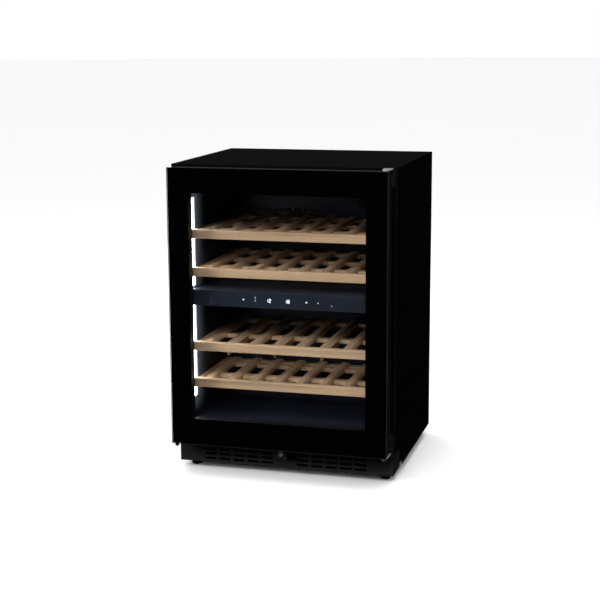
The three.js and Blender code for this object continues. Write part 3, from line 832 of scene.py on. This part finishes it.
class Build:
    """What the operators that build pieces have in common"""

    bl_options = {"INTERNAL"}

    def execute(self, context):
        self.build(context.scene.cooler_sizes, context.scene.cooler_colours)
        return {"FINISHED"}


class WINE_COOLER_OT_finishes(Build, bpy.types.Operator):
    """Make every finish"""

    bl_idname = "wine_cooler.finishes"
    bl_label = "Finishes"

    def build(self, sizes, colours):
        make_finishes(colours)


class WINE_COOLER_OT_stage(Build, bpy.types.Operator):
    """Set the floor, the soft lights, the surroundings and the camera"""

    bl_idname = "wine_cooler.stage"
    bl_label = "Stage, light and camera"

    def build(self, sizes, colours):
        scene = bpy.context.scene
        scene.view_settings.view_transform = "Standard"
        self.place_camera(scene, sizes)
        self.lay_floor(scene, colours)
        self.hang_lights(scene)
        self.surround(scene)

    def place_camera(self, scene, sizes):
        yaw, pitch, roll = (math.radians(a) for a in (15.76, 10.55, -0.34))
        ahead = Vector(
            (-math.sin(yaw) * math.cos(pitch), math.cos(yaw) * math.cos(pitch), -math.sin(pitch))
        )
        right = Vector((math.cos(yaw), math.sin(yaw), 0.0))
        above = right.cross(ahead)
        tilted = right * math.cos(roll) + above * math.sin(roll)
        upright = above * math.cos(roll) - right * math.sin(roll)
        lens = bpy.data.cameras.new("camera")
        lens.sensor_width = 36.0
        lens.lens = sizes.camera_lens
        lens.shift_x = 0.0177
        lens.shift_y = -0.0142
        camera = bpy.data.objects.new("camera", lens)
        scene.collection.objects.link(camera)
        axes = Matrix((tilted, upright, -ahead)).transposed().to_4x4()
        camera.matrix_world = Matrix.Translation((0.9735, -3.6034, 1.1523)) @ axes
        scene.camera = camera

    def lay_floor(self, scene, colours):
        finish = Finish("studio_floor")
        mottle = finish.noise(0.7, detail=3.0)
        finish.done(
            finish.principled(
                Base_Color=finish.between(
                    mottle, (*colours.floor, 1.0), shade(colours.floor, 1.015)
                ),
                Roughness=0.85,
                Specular_IOR_Level=0.1,
            )
        )
        shape = bmesh.new()
        bmesh.ops.create_circle(shape, cap_ends=True, segments=96, radius=60.0)
        mesh = bpy.data.meshes.new("floor")
        shape.to_mesh(mesh)
        shape.free()
        mesh.materials.append(finish.material)
        floor = bpy.data.objects.new("floor", mesh)
        floor.visible_glossy = False
        floor.visible_diffuse = False
        scene.collection.objects.link(floor)

    def hang_lights(self, scene):
        rows = (
            # name, place, aimed at, width, height, watts
            ("overhead", (0.0, 0.1, 3.2), (0.0, 0.05, 0.4), 2.6, 2.2, 8.0),
            ("front_left", (-2.0, -3.0, 1.6), (0.0, 0.0, 0.45), 1.3, 1.6, 82.0),
            ("front_high", (0.3, -3.0, 2.4), (0.0, 0.0, 0.45), 1.6, 1.0, 80.0),
            ("rear_left", (-2.2, 2.6, 1.8), (0.0, 0.2, 0.5), 1.6, 1.6, 40.0),
            ("rear_right", (1.2, 3.2, 1.5), (0.0, 0.2, 0.5), 1.6, 1.6, 30.0),
        )
        for name, place, target, width, height, watts in rows:
            data = bpy.data.lights.new(name, "AREA")
            data.shape = "RECTANGLE"
            data.size = width
            data.size_y = height
            data.energy = watts
            lamp = bpy.data.objects.new(name, data)
            direction = Vector(target) - Vector(place)
            lamp.matrix_world = (
                Matrix.Translation(place) @ direction.to_track_quat("-Z", "Y").to_matrix().to_4x4()
            )
            lamp.visible_glossy = False
            scene.collection.objects.link(lamp)

    def surround(self, scene):
        """White to the eye; light from above that fades to the horizon; a dim room in the gloss."""
        world = bpy.data.worlds.new("studio")
        world.use_nodes = True
        tree = world.node_tree
        tree.nodes.clear()
        new, link = tree.nodes.new, tree.links.new
        split = new("ShaderNodeSeparateXYZ")
        coordinates = new("ShaderNodeTexCoord")
        link(coordinates.outputs["Generated"], split.inputs[0])
        height = Wire(tree, split.outputs["Z"])
        above = height.step("MAXIMUM", height, 0.0)
        path = new("ShaderNodeLightPath")
        eye = Wire(tree, path.outputs["Is Camera Ray"])
        gloss = Wire(tree, path.outputs["Is Glossy Ray"])
        soft = above * above * 2.35
        room = above * above * 0.55 + 0.004
        level = eye + (1.0 - eye) * (gloss * room + (1.0 - gloss) * soft)
        sky = new("ShaderNodeBackground")
        sky.inputs["Color"].default_value = (1.0, 1.0, 1.0, 1.0)
        plug(tree, sky.inputs["Strength"], level)
        output = new("ShaderNodeOutputWorld")
        link(sky.outputs[0], output.inputs["Surface"])
        scene.world = world


class WINE_COOLER_OT_cabinet(Build, bpy.types.Operator):
    """Painted wrap, face frame, liner, foam and back panel"""

    bl_idname = "wine_cooler.cabinet"
    bl_label = "Cabinet"

    def build(self, sizes, colours):
        rounding = dict(angle=60.0, least=12 * MM, segments=3)
        wrap = eased("cabinet_wrap", sizes.sheet_edge, ("cabinet_steel", "front_flange"), **rounding)
        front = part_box("cabinet_wrap")[0].y + 0.5 * MM
        # Painted highlight: the flange's front faces on the hinge side take the paler paint, standing in for
        # the light line along that edge.
        for face in wrap.data.polygons:
            hinge_side = face.center.x > 0.28
            if hinge_side and face.normal.y < -0.9 and face.center.y < front:
                face.material_index = 1
        eased("front_frame", 0.8 * MM)
        eased("back_panel", 0.25 * MM)
        # The liner walls carry the painted glow of the light bars.
        repaint("inner_liner", finish="liner_wall")
        repaint("insulation_foam")
        low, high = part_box("back_panel")
        inset, back = 9 * MM, high.y
        rows = [low.z + inset, (low.z + high.z) / 2, high.z - inset]
        places = [(side * (high.x - inset), back, z) for z in rows for side in (-1, 1)]
        screws("back_panel_screws", places, "back", "cabinet", "zinc_steel", "zinc_steel", 3 * MM, 1.3 * MM)


class WINE_COOLER_OT_plinth(Build, bpy.types.Operator):
    """Plinth grille, cross bar, base pan and the four levelling feet"""

    bl_idname = "wine_cooler.plinth"
    bl_label = "Plinth and feet"

    def build(self, sizes, colours):
        eased("plinth_grille", 0.7 * MM, least=3 * MM)
        eased("lower_crossbar", 0.8 * MM, "cabinet_steel")
        # The base pan takes black paint in place of the zinc of its slot: painted shade, so the vent slots in
        # the plinth read dark.
        eased("base_pan", 0.6 * MM, "cabinet_steel", least=4 * MM)
        for end in ("front", "rear"):
            for side in ("left", "right"):
                self.foot(f"foot_{end}_{side}")

    def foot(self, node):
        low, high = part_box(node)
        middle = (low + high) / 2
        pad, stem, tall = (high.x - low.x) / 2, 4.8 * MM, high.z
        section = [(0.0, 0.0), (pad * 0.86, 0.0), (pad * 0.97, 0.8 * MM), (pad, 2.2 * MM)]
        for rib in range(4):
            z = (3.2 + rib * 2.6) * MM
            section += [(pad, z), (pad * 0.94, z + 0.7 * MM), (pad * 0.94, z + 1.6 * MM), (pad, z + 2.2 * MM)]
        section += [(pad * 0.96, 14.2 * MM), (pad * 0.55, 15.5 * MM), (stem, 15.6 * MM)]
        turns = 16
        lead = (tall - 16.4 * MM) / turns
        for thread in range(turns):
            z = 16.2 * MM + thread * lead
            section += [(stem, z), (stem - 0.55 * MM, z + lead * 0.5)]
        section += [(stem - 0.3 * MM, tall), (0.0, tall)]
        shape = moved(lathe(section, 36), Matrix.Translation((middle.x, middle.y, 0.0)))
        piece(f"{node}_finished", shape, BODY_OF[node], "foot_plastic", replaced=(node,))


class WINE_COOLER_OT_door(Build, bpy.types.Operator):
    """Double-glazed door: panes, printed border, frame and seal"""

    bl_idname = "wine_cooler.door"
    bl_label = "Door"

    def build(self, sizes, colours):
        self.outer_pane(sizes)
        self.border(sizes)
        repaint("door_glass_inner", finish="inner_glass")
        eased("glazing_spacer", 0.4 * MM, least=4 * MM)
        eased("door_frame", sizes.moulded_edge, least=9 * MM)
        self.seal()
        self.corner_plug()
        repaint("hinge_bush_top", "hinge_bush_bottom")

    def outer_pane(self, sizes):
        low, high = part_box("door_glass_outer")
        shape = block_of(low, high)
        along = [e for e in shape.edges if abs(e.verts[0].co.y - e.verts[1].co.y) > 1 * MM]
        softened(shape, along, sizes.glass_corner, 5)
        rim = [
            e
            for e in shape.edges
            if abs(e.verts[0].co.y - e.verts[1].co.y) < 0.1 * MM
            and len(e.link_faces) == 2
            and e.calc_face_angle(0.0) > math.radians(60)
        ]
        softened(shape, rim, 0.7 * MM, 2)
        # The faces take glass, the hinge-side edge the ground glass, and the other edges black moulding:
        # painted shade that keeps those edges from showing a pale line, so only the hinge edge catches one.
        for face in shape.faces:
            hinge_edge = 1 if face.calc_center_median().x > high.x - 2 * MM else 2
            face.material_index = 0 if abs(face.normal.y) > 0.99 else hinge_edge
        piece(
            "outer_pane",
            shape,
            "door",
            "door_glass",
            ("door_glass", "glass_edge", "black_plastic"),
            ("door_glass_outer",),
        )

    def border(self, sizes):
        low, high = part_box("door_glass_outer")
        back = high.y
        outer, inner = 1.2 * MM, high.x - sizes.window_half_width
        front_y, back_y = back + 0.04 * MM, back + 0.2 * MM
        section = [(outer, front_y), (inner, front_y), (inner, back_y), (outer, back_y)]
        shape = framed(section, (low.x, low.z), (high.x, high.z))
        # the window isn't centred in the pane's height, so its head and foot are moved to their own heights
        middle = (low.z + high.z) / 2
        for vert in shape.verts:
            if abs(abs(vert.co.x) - sizes.window_half_width) < 0.01 * MM:
                vert.co.z = sizes.window_high if vert.co.z > middle else sizes.window_low
        corners = [
            e
            for e in shape.edges
            if abs(e.verts[0].co.y - e.verts[1].co.y) > 0.1 * MM
            and abs(abs(e.verts[0].co.x) - sizes.window_half_width) < 0.01 * MM
        ]
        softened(shape, corners, 4 * MM, 5)
        piece("printed_border", shape, "door", "door_glass", "printed_border")

    def seal(self):
        low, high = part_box("door_gasket")
        front, back = low.y, high.y
        lip, tongue = 12 * MM, 4 * MM
        middle = front + 4 * MM
        section = [
            (0.4 * MM, middle),
            (0.0, middle + 1.2 * MM),
            (1.1 * MM, middle + 3.0 * MM),
            (0.1 * MM, middle + 4.8 * MM),
            (0.9 * MM, back - 1.0 * MM),
            (2.4 * MM, back),
            (lip - 2.4 * MM, back),
            (lip - 0.9 * MM, back - 1.0 * MM),
            (lip - 0.1 * MM, middle + 4.8 * MM),
            (lip - 1.1 * MM, middle + 3.0 * MM),
            (lip, middle + 1.2 * MM),
            (lip - 0.4 * MM, middle),
            (tongue * 2 - 0.2 * MM, middle),
            (tongue * 2 - 0.2 * MM, front + 0.6 * MM),
            (tongue * 1.5, front),
            (tongue + 0.2 * MM, front + 0.6 * MM),
            (tongue + 0.2 * MM, middle),
        ]
        shape = framed(section, (low.x, low.z), (high.x, high.z))
        piece("door_seal", shape, "door", "gasket_rubber", replaced=("door_gasket",), smooth=70.0)

    def corner_plug(self):
        low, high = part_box("door_corner_plug")
        middle = (low + high) / 2
        radius = (high.x - low.x) / 2
        collar = 91 * MM - 0.3 * MM - low.z
        stem = 4.6 * MM
        section = [
            (0.0, 0.0),
            (radius * 0.45, 0.15 * MM),
            (radius * 0.72, 0.7 * MM),
            (radius * 0.92, 1.9 * MM),
            (radius, 3.6 * MM),
            (radius, collar - 2.6 * MM),
            (radius * 0.9, collar - 2.2 * MM),
            (radius * 0.9, collar - 1.6 * MM),
            (radius, collar - 1.2 * MM),
            (radius, collar),
            (stem, collar),
            (stem, high.z - low.z - 0.6 * MM),
            (stem * 0.8, high.z - low.z),
            (0.0, high.z - low.z),
        ]
        shape = moved(lathe(section, 32), Matrix.Translation((middle.x, middle.y, low.z)))
        piece("corner_plug", shape, "door", "black_plastic", replaced=("door_corner_plug",))


class WINE_COOLER_OT_hardware(Build, bpy.types.Operator):
    """Hinges, their screws, and the lock"""

    bl_idname = "wine_cooler.hardware"
    bl_label = "Hinges and lock"

    def build(self, sizes, colours):
        for node in ("hinge_top", "hinge_bottom"):
            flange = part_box(node)[1].y - 3.4 * MM
            made = eased(node, 0.45 * MM, ("hinge_steel", "hinge_leaf"), least=1.6 * MM)
            # Painted highlight: the leaf in front of the flange takes a pale, half-metal grey that stands in
            # for the glint along it; the flange keeps the dark hinge paint.
            for face in made.data.polygons:
                face.material_index = 1 if face.center.y < flange else 0
        repaint("hinge_pin_bottom")
        for node, heights in (("hinge_top", (0.7805, 0.7985)), ("hinge_bottom", (0.098, 0.128))):
            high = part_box(node)[1]
            plate = high.y - 2.5 * MM
            places = [(high.x - 10.5 * MM, plate, z) for z in heights]
            screws(f"{node}_screws", places, "front", "cabinet", "hinge_steel", "bright_steel", 3 * MM)
        eased("lock_case", 0.6 * MM, "plinth_steel", least=3 * MM, segments=3)
        self.key_barrel()
        repaint("lock_bolt")

    def key_barrel(self):
        low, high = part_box("lock_cylinder")
        middle = (low + high) / 2
        radius, length = (high.x - low.x) / 2, high.y - low.y
        section = [
            (0.0, length - 2.6 * MM),
            (radius * 0.62, length - 2.6 * MM),
            (radius * 0.66, length - 0.9 * MM),
            (radius * 0.76, length - 0.25 * MM),
            (radius * 0.93, length),
            (radius, length - 0.6 * MM),
            (radius, 0.3 * MM),
            (radius * 0.95, 0.0),
            (0.0, 0.0),
        ]
        ring = lathe(section, 40)
        key_way = 0.55 * MM
        low_face, top_face = length - 2.7 * MM, length - 1.3 * MM
        halves = []
        for side in (-1, 1):
            half = bmesh.new()
            bmesh.ops.create_circle(half, cap_ends=True, segments=36, radius=radius * 0.6)
            bmesh.ops.bisect_plane(
                half,
                geom=half.verts[:] + half.edges[:] + half.faces[:],
                plane_co=(side * key_way, 0, 0),
                plane_no=(-side, 0, 0),
                clear_outer=True,
            )
            raised = bmesh.ops.extrude_face_region(half, geom=half.faces[:])
            tops = [g for g in raised["geom"] if isinstance(g, bmesh.types.BMVert)]
            bmesh.ops.translate(half, vec=(0, 0, top_face - low_face), verts=tops)
            bmesh.ops.recalc_face_normals(half, faces=half.faces)
            halves.append(moved(half, Matrix.Translation((0, 0, low_face))))
        shape = merged(ring, *halves)
        place = Matrix.Translation((middle.x, high.y, middle.z)) @ FACING["front"]
        piece(
            "key_barrel",
            moved(shape, place),
            "lock_cylinder",
            "bright_steel",
            replaced=("lock_cylinder",),
        )


class WINE_COOLER_OT_shelves(Build, bpy.types.Operator):
    """Beech rails and slatted racks"""

    bl_idname = "wine_cooler.shelves"
    bl_label = "Shelves"

    def build(self, sizes, colours):
        for number in range(1, 5):
            eased(f"shelf_{number}_rail", sizes.wood_edge, "rail_beech", least=8 * MM, segments=3)
            eased(f"shelf_{number}_rack", 0.9 * MM, "beech", angle=28.0, least=8 * MM)


SEGMENTS = {
    "top": (0.5, 1.0, True),
    "upper_left": (0.0, 0.75, False),
    "upper_right": (1.0, 0.75, False),
    "middle": (0.5, 0.5, True),
    "lower_left": (0.0, 0.25, False),
    "lower_right": (1.0, 0.25, False),
    "foot": (0.5, 0.0, True),
}
DIGITS = {
    "1": ("upper_right", "lower_right"),
    "2": ("top", "upper_right", "middle", "lower_left", "foot"),
    "8": tuple(SEGMENTS),
}


class WINE_COOLER_OT_interior(Build, bpy.types.Operator):
    """Divider, control panel, light bars, air ducts and fans"""

    bl_idname = "wine_cooler.interior"
    bl_label = "Interior"

    def build(self, sizes, colours):
        eased("zone_divider", sizes.moulded_edge, "panel_surround", least=6 * MM)
        eased("control_panel", 0.5 * MM, least=4 * MM)
        repaint("control_board")
        self.display(sizes)
        for zone in ("lower", "upper"):
            self.light_bar(zone)
            eased(f"duct_cover_{zone}", sizes.moulded_edge, least=3 * MM)
            repaint(f"evaporator_{zone}", f"fan_frame_{zone}", f"fan_wheel_{zone}")
        eased("charcoal_filter", 0.8 * MM, least=3 * MM)

    def light_bar(self, zone):
        node = f"led_strip_{zone}"
        low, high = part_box(node)
        lens = block_of(low, high)
        upright = [
            e
            for e in lens.edges
            if abs(e.verts[0].co.z - e.verts[1].co.z) > 10 * MM
            and e.verts[0].co.x > (low.x + high.x) / 2
        ]
        softened(lens, upright, 2.2 * MM, 5)
        softened(lens, sharp_edges(lens, 60.0, 2 * MM), 0.4 * MM, 2)
        piece(f"light_bar_{zone}", lens, "cabinet", "led_light", replaced=(node,))

    def bar(self, x, z, width, height, depth):
        front = self.face - 0.12 * MM
        low = (x - width / 2, front, z - height / 2)
        high = (x + width / 2, front + depth, z + height / 2)
        shape = block_of(low, high)
        softened(shape, shape.edges[:], min(width, height) * 0.2, 1)
        return shape

    def display(self, sizes):
        """Two temperatures in seven-segment digits, and plain touch marks beside them."""
        low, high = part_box("control_panel")
        self.face = low.y
        tall = sizes.digit_height
        wide, stroke, depth = tall * 0.52, tall * 0.13, 0.2 * MM
        level = (low.z + high.z) / 2
        marks = []
        for start, text in ((-48 * MM, "12"), (2 * MM, "18")):
            for index, digit in enumerate(text):
                left = start + index * tall * 0.9
                for name in DIGITS[digit]:
                    across, up, flat = SEGMENTS[name]
                    size = (wide - stroke, stroke) if flat else (stroke, tall / 2 - stroke)
                    marks.append(
                        self.bar(left + across * wide, level + (up - 0.5) * tall, *size, depth)
                    )
        for x, lift in ((-78, 7.0), (-78, -1.5), (91, 0.0), (127, -6.0)):
            shape = bmesh.new()
            bmesh.ops.create_circle(shape, cap_ends=True, segments=3, radius=1.3 * MM)
            moved(shape, turn(90, "X"))
            raised = bmesh.ops.extrude_face_region(shape, geom=shape.faces[:])
            tops = [g for g in raised["geom"] if isinstance(g, bmesh.types.BMVert)]
            bmesh.ops.translate(shape, vec=(0, -depth, 0), verts=tops)
            bmesh.ops.recalc_face_normals(shape, faces=shape.faces)
            marks.append(
                moved(shape, Matrix.Translation((x * MM, self.face + 0.08 * MM, level + lift * MM)))
            )
        for x in (-110, 60):
            ring = lathe(
                [(1.3 * MM, 0), (1.8 * MM, 0), (1.8 * MM, depth), (1.3 * MM, depth), (1.3 * MM, 0)], 24
            )
            marks.append(
                moved(ring, Matrix.Translation((x * MM, self.face + 0.08 * MM, level)) @ FACING["front"])
            )
            marks.append(self.bar(x * MM, level + 1.7 * MM, 0.45 * MM, 1.8 * MM, depth * 1.1))
        piece("panel_display", merged(*marks), "cabinet", "led_light", "display")


class WINE_COOLER_OT_machine_room(Build, bpy.types.Operator):
    """Compressor, condenser, rear cover and mains inlet"""

    bl_idname = "wine_cooler.machine_room"
    bl_label = "Machine room"

    def build(self, sizes, colours):
        repaint("compressor", "condenser", "condenser_fan_wheel", "filter_drier", "refrigerant_pipe")
        eased("compressor_base", 0.6 * MM, least=4 * MM)
        eased("drip_tray", 1.0 * MM, least=4 * MM)
        eased("condenser_fan_frame", 0.8 * MM, angle=70.0, least=10 * MM)
        eased("rear_cover", 0.25 * MM, least=3 * MM)
        eased("mains_inlet", 0.4 * MM, least=1.5 * MM)
        low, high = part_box("rear_cover")
        inset = 9 * MM
        rows = [low.z + inset, high.z - inset]
        columns = (-1, -0.34, 0.34, 1)
        places = [(share * (high.x - inset), high.y, z) for z in rows for share in columns]
        screws("rear_cover_screws", places, "back", "cabinet", "zinc_steel", "zinc_steel", 3 * MM, 1.3 * MM)


class WINE_COOLER_PT_panel(bpy.types.Panel):
    """Lists the steps that finish the cooler"""

    bl_idname = "WINE_COOLER_PT_panel"
    bl_label = "Wine cooler"
    bl_space_type = "VIEW_3D"
    bl_region_type = "UI"
    bl_category = "Wine cooler"

    def draw(self, context):
        for settings in (context.scene.cooler_sizes, context.scene.cooler_colours):
            for name in settings.__annotations__:
                self.layout.prop(settings, name)
        for step in STEPS:
            self.layout.operator(step.bl_idname)


STEPS = (
    WINE_COOLER_OT_finishes,
    WINE_COOLER_OT_stage,
    WINE_COOLER_OT_cabinet,
    WINE_COOLER_OT_plinth,
    WINE_COOLER_OT_door,
    WINE_COOLER_OT_hardware,
    WINE_COOLER_OT_shelves,
    WINE_COOLER_OT_interior,
    WINE_COOLER_OT_machine_room,
)
CLASSES = (CoolerSizes, CoolerColours, *STEPS, WINE_COOLER_PT_panel)


def register():
    for made in CLASSES:
        bpy.utils.register_class(made)
    bpy.types.Scene.cooler_sizes = bpy.props.PointerProperty(type=CoolerSizes)
    bpy.types.Scene.cooler_colours = bpy.props.PointerProperty(type=CoolerColours)


def unregister():
    del bpy.types.Scene.cooler_colours
    del bpy.types.Scene.cooler_sizes
    for made in reversed(CLASSES):
        bpy.utils.unregister_class(made)


def main():
    register()
    for step in STEPS:
        getattr(bpy.ops.wine_cooler, step.bl_idname.split(".")[1])()


if __name__ == "__main__":
    main()
